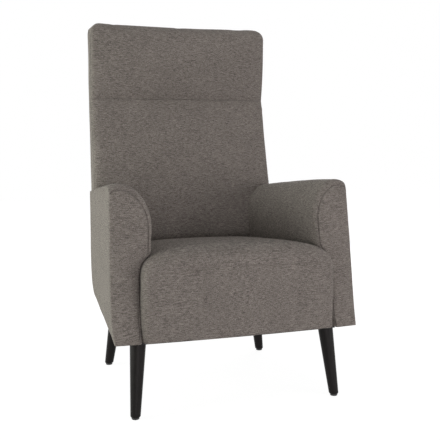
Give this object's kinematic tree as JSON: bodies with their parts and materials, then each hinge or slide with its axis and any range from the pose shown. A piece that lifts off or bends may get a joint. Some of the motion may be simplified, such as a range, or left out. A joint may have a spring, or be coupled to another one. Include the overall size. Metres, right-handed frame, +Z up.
{
  "type": "fireside chair",
  "caption": "High-backed upholstered fireside chair with padded arched arms, a headrest panel, a sprung seat and splayed round tapered legs.",
  "frame": {"origin": "on the floor, at the middle of the chair's width and depth", "axes": "+Z up; the chair faces -Y, and +X is the sitter's left"},
  "size_m": [0.708, 0.7296, 1.1128],
  "materials": {
    "cover": "woven melange upholstery cloth, matt",
    "foam": "open-cell cushion foam under the covers",
    "felt": "pressed felt pad over the springs",
    "dust_cloth": "thin black non-woven cloth",
    "webbing": "elastic webbing",
    "timber": "sawn softwood and birch ply, unfinished",
    "leg": "turned hardwood, black satin lacquer",
    "steel": "bright zinc plate",
    "glide": "moulded nylon, matt"
  },
  "bodies": {
    "root": {"left_arm_front_board": "timber", "left_arm_top_rail": "timber", "left_arm_foam": "foam", "left_inner_arm_cover": "cover", "left_outer_arm_cover": "cover", "left_arm_front_facing": "cover", "left_seat_side_rail": "timber", "left_back_upright": "timber", "left_front_corner_block": "timber", "left_rear_corner_block": "timber", "left_front_leg": "leg", "left_rear_leg": "leg", "left_front_hanger_bolt": "steel", "left_rear_hanger_bolt": "steel", "left_front_glide": "glide", "left_rear_glide": "glide", "right_arm_front_board": "timber", "right_arm_top_rail": "timber", "right_arm_foam": "foam", "right_inner_arm_cover": "cover", "right_outer_arm_cover": "cover", "right_arm_front_facing": "cover", "right_seat_side_rail": "timber", "right_back_upright": "timber", "right_front_corner_block": "timber", "right_rear_corner_block": "timber", "right_front_leg": "leg", "right_rear_leg": "leg", "right_front_hanger_bolt": "steel", "right_rear_hanger_bolt": "steel", "right_front_glide": "glide", "right_rear_glide": "glide", "seat_front_rail": "timber", "seat_rear_rail": "timber", "seat_spring_1": "steel", "seat_spring_2": "steel", "seat_spring_3": "steel", "seat_spring_4": "steel", "spring_insulator": "felt", "seat_foam": "foam", "seat_cover": "cover", "dust_cover": "dust_cloth", "back_bottom_rail": "timber", "back_middle_rail": "timber", "back_top_rail": "timber", "back_webbing_1": "webbing", "back_webbing_2": "webbing", "back_webbing_3": "webbing", "back_webbing_4": "webbing", "back_webbing_5": "webbing", "back_foam": "foam", "headrest_foam": "foam", "inner_back_cover": "cover", "headrest_cover": "cover", "left_back_border": "cover", "right_back_border": "cover", "outer_back_cover": "cover"}
  },
  "joints": []
}
